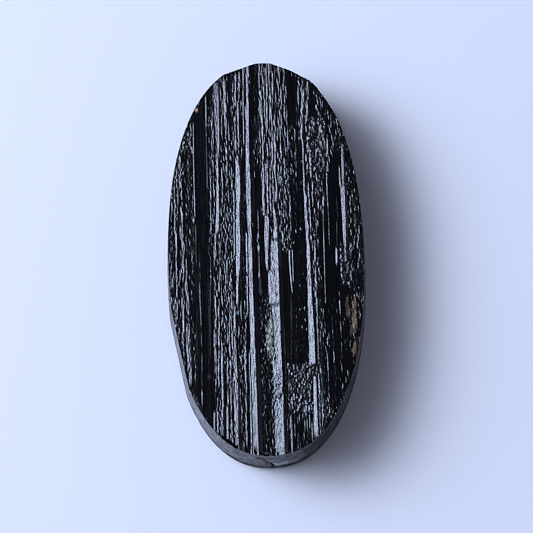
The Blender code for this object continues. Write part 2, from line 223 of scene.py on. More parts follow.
RIGHT_RIDGES = [
    (20, 0.1, [(0.6, 2.3, 2.42), (-1.0, 2.3, 2.42), (-2.8, 2.4, 2.5), (-3.8, 2.5, 2.6)]),
    (17, 0.1, [(0.6, 2.6, 2.7), (-1.5, 2.62, 2.7), (-2.7, 2.6, 2.7)]),
    (13, 0.12, [(6.0, 2.46, 2.6), (3.0, 2.46, 2.6), (0.8, 2.44, 2.56)]),
    (7, 0.1, [(-7.5, 1.6, 1.7), (-12.0, 1.62, 1.74)]),
    (5, 0.1, [(-4.0, 2.34, 2.5), (-11.0, 2.2, 2.42)]),
    (24, 0.1, [(2.72, 3.45, 3.58), (2.5, 3.5, 3.63)]),
    (22, 0.1, [(2.48, 2.99, 3.1), (2.3, 3.0, 3.11)]),
    (22, 0.1, [(1.35, 2.75, 2.86), (1.15, 2.76, 2.87)]),
    (24, 0.1, [(-5.3, 3.64, 3.76), (-5.52, 3.65, 3.77)]),
    (24, 0.1, [(-7.2, 3.34, 3.46), (-7.42, 3.35, 3.47)]),
    (22, 0.1, [(-7.4, 3.8, 3.9), (-7.62, 3.8, 3.9)]),
    (20, 0.1, [(-6.5, 3.7, 3.8), (-6.72, 3.7, 3.8)]),
    (22, 0.1, [(17.5, 3.58, 3.7), (16.0, 3.58, 3.68)]),
    (16, 0.12, [(18.3, 3.95, 4.15), (17.0, 3.95, 4.2), (15.5, 3.9, 4.15), (14.8, 3.8, 4.1)]),
    (18, 0.12, [(14.5, 3.8, 4.03), (13.0, 3.74, 3.98), (12.0, 3.76, 3.92), (11.5, 3.9, 4.03),
                (6.0, 3.92, 4.06)]),
    (22, 0.1, [(16.0, 4.38, 4.5), (15.0, 4.4, 4.54), (14.0, 4.38, 4.52)]),
    (18, 0.1, [(18.2, 4.5, 4.66), (16.0, 4.52, 4.66), (15.4, 4.55, 4.64)]),
    (20, 0.1, [(13.3, 4.62, 4.74), (12.0, 4.5, 4.62), (11.0, 4.38, 4.5)]),
    (24, 0.16, [(12.3, 5.92, 6.04), (11.6, 5.2, 5.36), (10.9, 4.38, 4.54)]),
    (26, 0.12, [(10.8, 4.58, 4.72), (9.0, 4.58, 4.72), (8.0, 4.6, 4.76)]),
    (25, 0.12, [(6.2, 3.98, 4.16), (4.5, 3.98, 4.2), (3.0, 4.02, 4.26), (2.0, 4.04, 4.3),
                (1.0, 4.08, 4.34), (0.3, 4.06, 4.36)]),
    (19, 0.1, [(7.7, 4.28, 4.4), (5.5, 4.34, 4.48), (4.0, 4.42, 4.56), (1.3, 4.46, 4.58)]),
    (26, 0.14, [(0.3, 4.06, 4.38), (-2.0, 4.08, 4.38), (-4.0, 4.05, 4.44), (-6.0, 4.05, 4.52),
                (-8.0, 4.05, 4.58), (-10.4, 4.03, 4.62), (-11.2, 4.05, 4.6)]),
    (17, 0.1, [(2.7, 4.78, 4.9), (1.3, 4.8, 4.92), (0.6, 4.8, 4.92)]),
    (19, 0.1, [(0.6, 4.8, 4.92), (-2.0, 4.8, 4.92), (-4.0, 4.82, 5.0), (-6.0, 4.82, 4.98),
                (-11.0, 4.84, 4.98)]),
    (12, 0.1, [(7.6, 4.7, 4.85), (6.0, 4.62, 4.82), (5.0, 4.7, 4.85)]),
    (12, 0.08, [(4.0, 5.02, 5.12), (2.0, 5.03, 5.12)]),
    (25, 0.12, [(-12.2, 4.38, 4.64), (-13.5, 4.36, 4.64), (-16.0, 4.33, 4.68), (-18.3, 4.28, 4.72)]),
    (21, 0.1, [(-11.8, 4.86, 5.0), (-14.0, 4.83, 4.98), (-18.1, 4.83, 4.98)]),
    (10, 0.1, [(-12.0, 5.08, 5.28), (-17.2, 5.06, 5.26)]),
    (15, 0.1, [(7.0, 5.82, 5.93), (5.0, 5.78, 5.9)]),
    (13, 0.12, [(4.8, 5.72, 5.86), (3.0, 5.72, 5.86), (0.0, 5.72, 5.84), (-3.0, 5.74, 5.83),
                (-5.0, 5.74, 5.82)]),
    (17, 0.12, [(8.4, 6.18, 6.32), (6.5, 6.2, 6.32), (5.0, 6.22, 6.32)]),
    (12, 0.1, [(5.0, 6.26, 6.36), (3.0, 6.28, 6.38), (1.0, 6.27, 6.37)]),
    (15, 0.12, [(16.6, 5.35, 5.48), (15.0, 5.58, 5.68), (14.4, 5.6, 5.72)]),
    (14, 0.12, [(14.0, 5.85, 6.0), (13.0, 5.82, 5.95), (12.4, 5.78, 5.9)]),
    (22, 0.14, [(12.0, 6.35, 6.47), (10.2, 6.35, 6.47)]),
    (16, 0.12, [(10.1, 6.45, 6.58), (9.5, 6.5, 6.6)]),
    (17, 0.12, [(9.6, 6.3, 6.42), (8.4, 6.34, 6.44)]),
    (26, 0.12, [(0.6, 6.93, 7.08), (-1.0, 6.93, 7.08)]),
    (9, 0.1, [(6.0, 7.1, 7.22), (3.6, 7.2, 7.3), (3.2, 7.08, 7.18), (0.6, 7.02, 7.12)]),
    (14, 0.12, [(-3.7, 7.12, 7.22), (-6.0, 7.14, 7.25), (-8.6, 7.18, 7.29)]),
    (7, 0.1, [(-9.0, 7.16, 7.26), (-12.0, 7.16, 7.26)]),
    (20, 0.12, [(11.2, 7.78, 7.95), (9.5, 7.76, 8.0), (8.0, 7.76, 8.0), (7.0, 7.74, 7.99)]),
    (18, 0.1, [(8.9, 7.48, 7.6), (7.0, 7.5, 7.68)]),
    (22, 0.2, [(7.0, 7.6, 8.0), (5.0, 7.65, 8.0), (3.0, 7.7, 8.02), (1.0, 7.74, 7.98)]),
    (23, 0.12, [(1.0, 7.76, 7.95), (-0.8, 7.8, 7.93)]),
    (18, 0.08, [(0.6, 8.6, 8.74), (0.0, 7.96, 8.1)]),
    (8, 0.1, [(3.0, 9.0, 9.36), (-1.5, 9.0, 9.36)]),
    (7, 0.12, [(-6.0, 6.3, 6.4), (-11.0, 6.42, 6.53)]),
    (4, 0.12, [(-11.0, 6.42, 6.55), (-15.2, 6.42, 6.55)]),
    (13, 0.1, [(-8.7, 5.76, 5.88), (-12.0, 5.8, 5.9), (-14.5, 5.82, 5.92)]),
    (19, 0.1, [(-16.0, 2.02, 2.16), (-19.8, 2.05, 2.2)]),
    (13, 0.1, [(-15.4, 1.58, 1.72), (-17.4, 1.62, 1.76)]),
    (11, 0.1, [(-17.8, 1.52, 1.7), (-19.8, 1.55, 1.72)]),
    (9, 0.1, [(-16.8, 2.36, 2.5), (-18.2, 2.36, 2.5)]),
    (15, 0.1, [(-15.0, 3.5, 3.62), (-17.5, 3.56, 3.7)]),
    (17, 0.1, [(-15.2, 3.84, 3.94), (-17.2, 3.84, 3.94)]),
    (15, 0.1, [(-17.8, 3.9, 3.98), (-18.8, 3.8, 3.9)]),
    (17, 0.08, [(-16.6, 4.08, 4.18), (-18.6, 4.06, 4.16)]),
]

# Stretches of broken surface, as elongated cells that each have their own level and tilt:
# left, right, lower end, upper end, cell width, cell length, most tilt in degrees, how rare the
# steep cells are, highest step between cells.
BROKEN = [
    (-9.65, -9.02, -10.5, 11.0, 0.130, 0.6, 9, 3.0, 0.030),
    (-8.9, -8.0, 3.5, 11.0, 0.130, 0.4, 9, 2.5, 0.070),
    (-9.0, -7.9, -10.5, 3.5, 0.140, 0.8, 8, 3.0, 0.040),
    (-9.0, -7.5, -12.9, -9.5, 0.160, 0.45, 9, 2.0, 0.060),
    (-8.0, -7.05, 3.5, 11.0, 0.160, 0.4, 5, 2.0, 0.020),
    (-8.4, -7.2, 10.8, 13.2, 0.220, 0.34, 14, 3.0, 0.100),
    (-7.9, -7.1, -12.5, 3.5, 0.160, 0.45, 7, 3.0, 0.025),
    (-9.5, -8.9, -8.5, -4.0, 0.160, 0.32, 14, 3.0, 0.100),
    (-5.55, -5.25, -3.0, 3.0, 0.140, 0.35, 8, 2.0, 0.030),
    (-5.55, -5.2, 3.0, 16.0, 0.120, 0.5, 5, 1.0, 0.012),
    (-5.25, -4.3, -7.5, 3.0, 0.120, 0.6, 12, 2.2, 0.060),
    (-5.3, -4.4, -17.8, -7.5, 0.120, 0.7, 8, 1.3, 0.030),
    (-5.25, -4.75, 3.0, 18.0, 0.130, 0.7, 7, 1.5, 0.025),
    (-4.85, -4.45, 3.0, 18.0, 0.130, 0.5, 6, 1.5, 0.025),
    (-4.45, -3.05, -12.5, 12.0, 0.125, 0.45, 10, 1.5, 0.050),
    (-4.1, -3.1, -19.5, -12.5, 0.140, 0.8, 11, 2.2, 0.050),
    (-4.3, -3.3, 12.0, 18.8, 0.130, 1.0, 10, 1.8, 0.040),
    (-3.1, -2.1, 8.0, 19.0, 0.130, 0.7, 12, 1.6, 0.050),
    (-3.05, -2.45, -3.0, 8.0, 0.120, 0.35, 8, 2.0, 0.030),
    (-2.45, -1.95, -4.0, 8.0, 0.120, 0.3, 7, 3.0, 0.015),
    (-3.1, -1.9, -19.5, -4.0, 0.140, 0.6, 7, 3.0, 0.030),
    (-2.95, -2.4, -11.7, -9.8, 0.160, 0.28, 18, 2.5, 0.070),
    (-1.85, -1.15, -20.4, 20.4, 0.120, 1.5, 5, 1.0, 0.020),
    (-1.3, -0.3, 8.0, 20.4, 0.150, 0.4, 5, 2.0, 0.012),
    (-1.1, 0.4, -20.4, -4.0, 0.160, 0.35, 7, 4.0, 0.020),
    (-0.35, 2.55, 10.0, 20.4, 0.120, 1.2, 12, 0.55, 0.035),
    (-0.3, 1.7, 4.0, 10.0, 0.120, 1.2, 13, 1.1, 0.060),
    (0.2, 1.35, -20.4, 4.0, 0.130, 0.4, 8, 1.0, 0.035),
    (1.5, 2.6, 0.5, 10.0, 0.140, 0.45, 13, 2.3, 0.070),
    (1.4, 4.2, -20.0, -15.8, 0.140, 1.0, 7, 2.4, 0.030),
    (2.6, 3.9, 6.0, 14.0, 0.150, 0.6, 5, 2.0, 0.015),
    (2.6, 3.95, -10.5, 6.0, 0.140, 0.25, 8, 6.0, 0.008),
    (3.4, 4.7, 12.0, 18.2, 0.140, 0.9, 12, 2.2, 0.060),
    (4.0, 4.8, 0.5, 12.0, 0.140, 0.6, 9, 2.5, 0.050),
    (3.95, 4.65, -10.5, 0.5, 0.130, 0.7, 6, 1.0, 0.020),
    (4.25, 6.25, 8.4, 14.2, 0.340, 0.55, 14, 4.0, 0.150),
    (4.25, 6.25, 8.4, 14.2, 0.150, 0.34, 12, 3.0, 0.030),
    (4.5, 5.4, -5.5, 8.4, 0.150, 0.5, 11, 3.0, 0.060),
    (4.7, 5.6, -18.2, -5.5, 0.140, 0.7, 8, 3.0, 0.040),
    (5.2, 6.0, 4.0, 8.6, 0.180, 0.4, 12, 3.0, 0.070),
    (5.2, 6.6, 14.0, 17.0, 0.160, 0.5, 10, 3.0, 0.060),
    (5.5, 8.3, -16.5, -4.0, 0.180, 0.8, 4, 3.5, 0.015),
    (6.6, 8.3, 10.3, 14.4, 0.160, 0.45, 12, 3.5, 0.060),
    (7.35, 8.5, -3.2, 1.2, 0.260, 0.34, 14, 4.0, 0.120),
    (8.05, 9.65, -9.5, 10.0, 0.160, 0.5, 9, 3.0, 0.045),
    (1.9, 4.25, -16.0, -10.9, 0.160, 0.3, 16, 2.4, 0.110),
    (1.4, 2.05, -16.5, -12.0, 0.140, 0.5, 9, 2.0, 0.030),
    (0.35, 1.5, -15.0, -11.8, 0.220, 0.2, 18, 1.5, 0.090),
    (4.0, 5.4, -12.3, -10.9, 0.130, 0.3, 20, 1.5, 0.060),
    (4.95, 6.3, -17.3, -14.4, 0.160, 0.32, 18, 2.6, 0.080),
    (-0.15, 0.55, -10.4, -6.0, 0.160, 0.28, 18, 2.5, 0.080),
]
# Width of a stretch's ragged border, and the size of its noise.
BROKEN_EDGE = 0.16
BROKEN_EDGE_CELL = (0.3, 0.6)
# Margin of points that are looked at beside a stretch and beside a ridge.
BROKEN_MARGIN = 0.4
RIDGE_MARGIN = 0.1
# How much the borders of the cells waver, and where their centres may lie, as shares of a cell.
WAVER_ACROSS = 0.45
WAVER_ALONG = 0.3
CENTRE_LOW = 0.1
CENTRE_SPAN = 0.8
# Half width of the slope between two cells.
STEP_REACH = 0.034
# Most tilt of a cell along Y in degrees, and how far along it goes on.
CROSS_TILT = 9
CROSS_REACH = 0.3
# Tilt of the flattest cells, as a share of the most tilt.
LEAST_TILT = 0.22
# Height of the smooth lumps in the cells, as a share of the highest step.
LUMPS = 0.28
# Height of step and slope at which the surface counts as wholly broken or steep, and the
# reach over which the slope is taken.
LIVELY_STEP = 0.12
LIVELY_SLOPE = 0.30
SLOPE_REACH = 0.03

# Marks of colour alone, that is stains, faint grey streaks and one painted highlight (a teal glint):
# middle in X and Y, half width, half length, colour, strength.
OCHRE = (0.28, 0.18, 0.09)
OLIVE = (0.30, 0.31, 0.18)
BEIGE = (0.38, 0.40, 0.30)
PEACH = (0.75, 0.45, 0.30)
TEAL_AND_GLINT = (0.22, 0.36, 0.38)
FAINT_GREY = (0.06, 0.06, 0.07)
STAINS_AND_GLINT = [
    (7.92, -5.30, 0.20, 0.85, OCHRE, 0.35),
    (8.60, -5.05, 0.18, 0.90, OCHRE, 0.7),
    (8.55, -6.95, 0.18, 1.10, OCHRE, 0.8),
    (8.45, -9.50, 0.20, 0.60, OCHRE, 0.9),
    (8.20, -7.60, 0.15, 0.50, OCHRE, 0.3),
    (8.80, 5.30, 0.20, 0.35, OLIVE, 0.12),
    (8.90, 3.60, 0.18, 0.70, OLIVE, 0.12),
    (0.20, -8.20, 0.30, 1.80, BEIGE, 0.7),
    (-5.03, 0.40, 0.14, 0.45, BEIGE, 0.5),
    (-6.60, 15.10, 0.16, 0.20, PEACH, 1.0),
    (-0.70, 0.70, 0.14, 0.14, TEAL_AND_GLINT, 0.8),
    # Painted highlight: a small bright glint, painted as a teal spot.
    (-2.90, -5.70, 0.12, 0.22, TEAL_AND_GLINT, 0.9),
    (-0.65, -3.10, 0.16, 1.00, TEAL_AND_GLINT, 0.15),
    (5.18, -8.00, 0.12, 3.00, TEAL_AND_GLINT, 0.05),
    (5.18, -14.00, 0.14, 3.00, TEAL_AND_GLINT, 0.12),
    # Faint grey streaks, made of grey colour alone, lighter than the black top.
    (-5.85, 4.20, 0.38, 0.05, FAINT_GREY, 1.0),
    (-5.70, -12.10, 0.42, 0.10, FAINT_GREY, 0.7),
    (8.00, -1.80, 0.40, 0.05, FAINT_GREY, 1.0),
]

# Bites out of the rim: facing in degrees, half width in degrees, how many of them bite, depth.
BITES = [
    (242.0, 22.0, 0.52, 0.75),
    (266.0, 14.0, 0.30, 0.28),
    (300.0, 20.0, 0.50, 0.22),
    (60.0, 22.0, 0.55, 0.24),
    (120.0, 20.0, 0.30, 0.16),
    (180.0, 45.0, 0.30, 0.16),
    (0.0, 35.0, 0.40, 0.18),
]
# How far bites reach in, the width of their inner slope, their size and their crispness.
BITE_REACH = 0.30
BITE_WALL = 0.08
BITE_CELL = (0.24, 0.30)
BITE_CRISPNESS = 5.0
# Length along the wall at the oval's ends for each degree of facing.
MM_A_DEGREE = 0.354

# Chips in the wall: facing in degrees, half width in degrees, middle height, half height, depth.
CHIPS = [
    (283.0, 4.0, 4.6, 0.5, 0.08),
    (292.0, 3.0, 3.6, 0.7, 0.08),
    (296.0, 3.5, 5.2, 0.6, 0.10),
    (252.0, 2.0, 4.4, 0.8, 0.05),
    (245.0, 2.0, 2.5, 0.6, 0.05),
]
# Marks along lines on the wall: colour, strength, half width, depth, and places of facing and
# height. Two wide faint shades come first, then flakes and cracks, all stretched upwards.
PALE = (0.62, 0.64, 0.68)
# Black, for the cracks and dark marks, and for the painted shade along the foot.
INK_AND_SHADE = (0.0, 0.0, 0.0)
WALL_MARKS = [
    (INK_AND_SHADE, 0.30, 2.4, 0.0, [(264.0, 3.0), (300.0, 3.0)]),
    (PALE, 0.05, 2.4, 0.0, [(222.0, 3.0), (245.0, 3.0)]),
    (PALE, 0.16, 0.28, 0.0, [(270.0, 2.3), (273.0, 2.0), (276.4, 2.2), (278.5, 3.2)]),
    (PALE, 1.0, 0.13, 0.0, [(270.4, 2.5), (272.2, 2.1), (274.6, 2.2)]),
    (INK_AND_SHADE, 1.0, 0.13, 0.10, [(266.4, 4.9), (267.4, 4.7), (268.3, 3.9)]),
    (INK_AND_SHADE, 1.0, 0.15, 0.12, [(268.8, 3.0), (269.8, 2.6), (270.6, 1.7)]),
    (INK_AND_SHADE, 0.6, 0.18, 0.06, [(280.0, 4.4), (287.0, 3.9), (295.0, 4.6)]),
]
MARK_STRETCH = 2.5
# Painted shade: a dark line painted black along the foot, where the wall meets the paper: its top
# edge, the height where it is full, how uneven the edge is, the size of that unevenness in degrees
# and up the wall, and the strength.
FOOT_SHADE_HIGH = 1.6
FOOT_SHADE_LOW = 1.0
FOOT_SHADE_UNEVEN = 0.35
FOOT_SHADE_CELL = (1.6, 1.5)
FOOT_SHADE_STRENGTH = 0.9

# Narrow cracks: width, depth, and places along Y with the crack's X there.
CRACKS = [
    (0.07, 0.09, [(9.2, 0.76), (5.0, 0.72), (3.3, 0.80), (2.0, 0.72), (1.6, 0.50), (0.2, 0.36)]),
    (0.06, 0.05, [(-6.0, 0.54), (-7.5, 0.58), (-9.0, 0.56), (-10.2, 0.74), (-11.0, 0.70)]),
    (0.05, 0.04, [(2.0, -1.76), (-5.9, -1.78)]),
]

# Length over which ridges and cracks fade out at their ends.
RIDGE_END = 0.25
CRACK_END = 0.30

# Faint growth lines over the whole top: size across and along, height, seed.
GROWTH_LINES = [
    (1.1, 4.0, 0.009, 110),
    (0.35, 3.0, 0.006, 35),
    (0.10, 2.0, 0.0022, 10),
]
# Unevenness of the ground wall: size in degrees and up the wall, depth, seed.
WALL_UNEVEN = (2.5, 1.6, 0.02, 41)

# Ragged edges of patches: size of the noise in two directions, how ragged, where the edge lies
# as a share of the patch, how crisp it is.
STAIN_AND_GLINT_EDGE = (0.16, 0.30, 0.6, 1.15, 3.0)
CHIP_EDGE = (1.2, 1.0, 0.4, 1.1, 1.6)
MARK_EDGE = (0.7, 0.9, 0.4, 1.6, 1.0)

# First seeds of the random patterns.
BROKEN_SEED = 100
BITE_SEED = 20
STAIN_AND_GLINT_SEED = 200
CHIP_SEED = 300
MARK_SEED = 320
FOOT_SHADE_SEED = 340

# Size of the random lattices, and the shifts that keep the count of cells positive.
NOISE_LATTICE = (1024, 512)
NOISE_SHIFT = (300.0, 200.0)
CELL_LATTICE = 256
CELL_SHIFT = 100.0
CELL_DRAWS = 5
# Farther than any distance that is looked for.
FAR = 99.0


def value_noise(x, y, cell_x, cell_y, seed):
    """Smooth noise from -1 to 1 with cells of a given size."""
    lattice = np.random.default_rng(seed).uniform(-1.0, 1.0, NOISE_LATTICE)
    u = x / cell_x + NOISE_SHIFT[0]
    v = y / cell_y + NOISE_SHIFT[1]
    column = np.floor(u).astype(int)
    row = np.floor(v).astype(int)
    s = u - column
    t = v - row
    s = s * s * (3.0 - 2.0 * s)
    t = t * t * (3.0 - 2.0 * t)
    column %= NOISE_LATTICE[0] - 1
    row %= NOISE_LATTICE[1] - 1
    low = lattice[column, row] * (1.0 - s) + lattice[column + 1, row] * s
    high = lattice[column, row + 1] * (1.0 - s) + lattice[column + 1, row + 1] * s
    return low * (1.0 - t) + high * t


def oval_radius(angle, inset):
    """Distance from the middle to the oval, drawn in by an inset."""
    across = np.abs(np.cos(angle)) / (HALF_WIDTH - inset)
    along = np.abs(np.sin(angle)) / (HALF_LENGTH - inset)
    radius = (across ** OVAL_POWER + along ** OVAL_POWER) ** (-1.0 / OVAL_POWER)
    for facing, distance in FLATS:
        cosine = np.cos(angle - math.radians(facing))
        reach = (distance - inset) / np.maximum(cosine, 1e-3)
        radius = np.where(cosine > 1e-3, np.minimum(radius, reach), radius)
    return radius


def oval_ends(x, inset):
    """Lowest and highest Y of the oval at each X."""
    share = 1.0 - (np.abs(x) / (HALF_WIDTH - inset)) ** OVAL_POWER
    half = (HALF_LENGTH - inset) * np.maximum(share, 0.0) ** (1.0 / OVAL_POWER)
    low = -half
    high = half
    for facing, distance in FLATS:
        normal_x = math.cos(math.radians(facing))
        normal_y = math.sin(math.radians(facing))
        limit = (distance - inset - normal_x * x) / normal_y
        if normal_y > 0.0:
            high = np.minimum(high, limit)
        else:
            low = np.maximum(low, limit)
    return low, high


def degrees_between(around, facing):
    """Turn from one direction to others in degrees, from -180 to 180."""
    return (around - facing + 180.0) % 360.0 - 180.0


def hat(x, left, crest, right):
    """Rises in a straight line from left to crest and drops from crest to right."""
    return np.clip(np.minimum((x - left) / (crest - left), (right - x) / (right - crest)), 0.0, 1.0)


def end_fade(y, low, high, length):
    """One between two ends, dropping to nothing at each."""
    return np.clip(np.minimum(y - low, high - y) / length + 0.5, 0.0, 1.0)


def inside_zone(x, y, zone, along):
    """How far places lie inside a stretch, with the distance along Y scaled."""
    left, right, low, high = zone[:4]
    return np.minimum(np.minimum(x - left, right - x), np.minimum(y - low, high - y) * along)


def ragged_patch(reach, x, y, edge, seed):
    """One in a patch and nothing outside it, where reach is the distance as a share of its size."""
    cell_x, cell_y, ragged, limit, crispness = edge
    rough = reach + ragged * value_noise(x, y, cell_x, cell_y, seed)
    return np.clip((limit - rough) * crispness, 0.0, 1.0)


def add_ridges(height, x, y, ridges):
    """Raise the ridges on the height field, whose points are sorted by X."""
    for tilt, right_width, path in ridges:
        along, lefts, crests = np.transpose(sorted(path))
        ends = (lefts.min() - RIDGE_MARGIN, crests.max() + right_width + RIDGE_MARGIN)
        part = slice(*np.searchsorted(x, ends))
        xs = x[part]
        ys = y[part]
        left = np.interp(ys, along, lefts)
        crest = np.interp(ys, along, crests)
        rise = math.tan(math.radians(tilt)) * (crest - left)
        fade = end_fade(ys, along[0], along[-1], RIDGE_END)
        height[part] += rise * fade * hat(xs, left, crest, crest + right_width)


def add_broken(height, x, y, zone, seed):
    """Break a stretch of surface into cells, each at its own level and tilt."""
    left, right, _, _, cell_x, cell_y, most, rarity, step = zone
    part = slice(*np.searchsorted(x, (left - BROKEN_MARGIN, right + BROKEN_MARGIN)))
    xs = x[part]
    ys = y[part]
    # The cells' edges waver in curves that are somewhat wider than a cell.
    waver = WAVER_ACROSS * cell_x * value_noise(xs, ys, 2.5 * cell_x, 0.35 * cell_y + 0.15, seed)
    u = (xs + waver) / cell_x + CELL_SHIFT
    v = ys / cell_y + WAVER_ALONG * value_noise(xs, ys, 1.5 * cell_x, 0.5 * cell_y, seed + 1) + CELL_SHIFT
    chance = np.random.default_rng(seed).uniform(0.0, 1.0, (CELL_DRAWS, CELL_LATTICE, CELL_LATTICE))
    nearest = np.full(u.shape, FAR)
    second = np.full(u.shape, FAR)
    level = np.zeros(u.shape)
    beside = np.zeros(u.shape)
    for step_x in (-1, 0, 1):
        for step_y in (-1, 0, 1):
            column = np.floor(u).astype(int) + step_x
            row = np.floor(v).astype(int) + step_y
            draw = chance[:, column % CELL_LATTICE, row % CELL_LATTICE]
            off_x = u - column - CENTRE_LOW - CENTRE_SPAN * draw[0]
            off_y = v - row - CENTRE_LOW - CENTRE_SPAN * draw[1]
            distance = np.hypot(off_x, off_y)
            steep = draw[2] ** rarity
            tilt = np.tan(np.radians(most * (LEAST_TILT + (1.0 - LEAST_TILT) * steep)))
            cross = np.tan(np.radians(CROSS_TILT * steep * (2.0 * draw[3] - 1.0)))
            here = tilt * off_x * cell_x
            here += cross * np.clip(off_y * cell_y, -CROSS_REACH, CROSS_REACH)
            here += step * draw[4]
            closer = distance < nearest
            beside = np.where(closer, level, np.where(distance < second, here, beside))
            second = np.where(closer, nearest, np.minimum(second, distance))
            level = np.where(closer, here, level)
            nearest = np.minimum(nearest, distance)
    inner = np.clip((second - nearest) * cell_x / (2.0 * STEP_REACH), 0.0, 1.0)
    level += 0.5 * (1.0 - inner) * (beside - level)
    level += LUMPS * step * value_noise(xs, ys, 0.9 * cell_x, 0.7 * cell_y, seed + 3)
    ragged = BROKEN_EDGE * value_noise(xs, ys, *BROKEN_EDGE_CELL, seed + 2)
    inside = inside_zone(xs, ys, zone, 0.5) + ragged
    share = np.clip(inside / BROKEN_EDGE, 0.0, 1.0)
    height[part] += share * (level - 0.5 * step)


def top_height(x, y):
    """Height of the raw top in mm."""
    drop = np.where(x < 0.0, CROWN_DROP_LEFT, CROWN_DROP_RIGHT)
    height = CROWN_HEIGHT - drop * (np.abs(x) / HALF_WIDTH) ** CROWN_POWER_SIDES
    height -= CROWN_DROP_ENDS * (np.abs(y) / HALF_LENGTH) ** CROWN_POWER_ENDS
    add_ridges(height, x, y, LEFT_RIDGES + MIDDLE_RIDGES + RIGHT_RIDGES)
    for number, zone in enumerate(BROKEN):
        add_broken(height, x, y, zone, BROKEN_SEED + 5 * number)
    for width, depth, path in CRACKS:
        along, across = np.transpose(sorted(path))
        off = np.abs(x - np.interp(y, along, across))
        fade = end_fade(y, along[0], along[-1], CRACK_END)
        height -= depth * fade * np.clip(1.0 - off / width, 0.0, 1.0)
    angle = np.arctan2(y, x)
    from_rim = oval_radius(angle, TOP_INSET) - np.hypot(x, y)
    for number, (facing, half_width, share, depth) in enumerate(BITES):
        off = np.abs(degrees_between(np.degrees(angle), facing)) / half_width
        wanted = np.clip(2.0 - 2.0 * off, 0.0, 1.0)
        chance = value_noise(x, y, *BITE_CELL, BITE_SEED + number)
        bite = np.clip((chance + 2.0 * share - 1.0) * BITE_CRISPNESS, 0.0, 1.0)
        height -= depth * wanted * bite * np.clip((BITE_REACH - from_rim) / BITE_WALL, 0.0, 1.0)
    for cell_x, cell_y, rise, seed in GROWTH_LINES:
        height += rise * value_noise(x, y, cell_x, cell_y, seed)
    return height


def column_places(x, low, high):
    """Places of one column's points along Y: finer in the stretches that are finely broken."""
    count = int(HALF_LENGTH / ROW_STEP) + 1
    number = np.arange(-count, count + 1)
    y = number * ROW_STEP
    stride = np.full(len(number), COARSE_STRIDE)
    for left, right, bottom, top, _, cell_y, _, _, _ in BROKEN:
        if cell_y > CELLS_FOR_HALF or not left - BROKEN_EDGE < x < right + BROKEN_EDGE:
            continue
        inside = (y > bottom - 2.0 * BROKEN_EDGE) & (y < top + 2.0 * BROKEN_EDGE)
        stride[inside] = np.minimum(stride[inside], 1 if cell_y <= CELLS_FOR_FINEST else 2)
    kept = (number % stride == 0) & (y > low + END_GAP) & (y < high - END_GAP)
    return np.concatenate([[low], y[kept], [high]])


def zip_columns(left, right, left_first, right_first):
    """Triangles that join two columns of points, given where each column's numbers start."""
    places = np.concatenate([left[1:], right[1:]])
    side = np.concatenate([np.zeros(len(left) - 1, int), np.ones(len(right) - 1, int)])
    side = side[np.lexsort((side, places))]
    on_left = left_first + np.cumsum(side == 0)
    on_right = right_first + np.cumsum(side == 1)
    from_left = np.where(side == 0, on_left - 1, on_left)
    from_right = np.where(side == 1, on_right - 1, on_right)
    newest = np.where(side == 0, on_left, on_right)
    return np.stack([from_left, from_right, newest], axis=-1)


def broken_share(x, y):
    """How far each place on the top is broken up, from 0 to 1."""
    share = np.zeros(x.shape)
    for zone in BROKEN:
        strength = min(1.0, zone[-1] / LIVELY_STEP)
        inside = inside_zone(x, y, zone, 1.0)
        share = np.maximum(share, strength * np.clip(inside / BROKEN_EDGE + 0.5, 0.0, 1.0))
    return share


def top_liveliness(x, y):
    """How broken or steep each place on the top is, from 0 to 1."""
    rise = top_height(x + SLOPE_REACH, y) - top_height(x - SLOPE_REACH, y)
    return np.maximum(broken_share(x, y), np.clip(rise / (2.0 * SLOPE_REACH) / LIVELY_SLOPE, 0.0, 1.0))


def stain_and_glint_colours(x, y):
    """Colour of the stains and of the painted glint at each place, with the strength as alpha."""
    colours = np.zeros(x.shape + (4,))
    for number, (middle_x, middle_y, half_width, half_length, colour, strength) in enumerate(STAINS_AND_GLINT):
        reach = np.hypot((x - middle_x) / half_width, (y - middle_y) / half_length)
        amount = strength * ragged_patch(reach, x, y, STAIN_AND_GLINT_EDGE, STAIN_AND_GLINT_SEED + number)
        colours[..., :3] = np.where((amount > colours[..., 3])[..., None], colour, colours[..., :3])
        colours[..., 3] = np.maximum(colours[..., 3], amount)
    return colours


def from_line(x, y, path):
    """Distance of each place from a line through some places."""
    nearest = np.full(x.shape, FAR)
    for (start_x, start_y), (end_x, end_y) in zip(path, path[1:]):
        run_x = end_x - start_x
        run_y = end_y - start_y
        along = (x - start_x) * run_x + (y - start_y) * run_y
        share = np.clip(along / (run_x ** 2 + run_y ** 2), 0.0, 1.0)
        nearest = np.minimum(nearest, np.hypot(x - start_x - share * run_x, y - start_y - share * run_y))
    return nearest


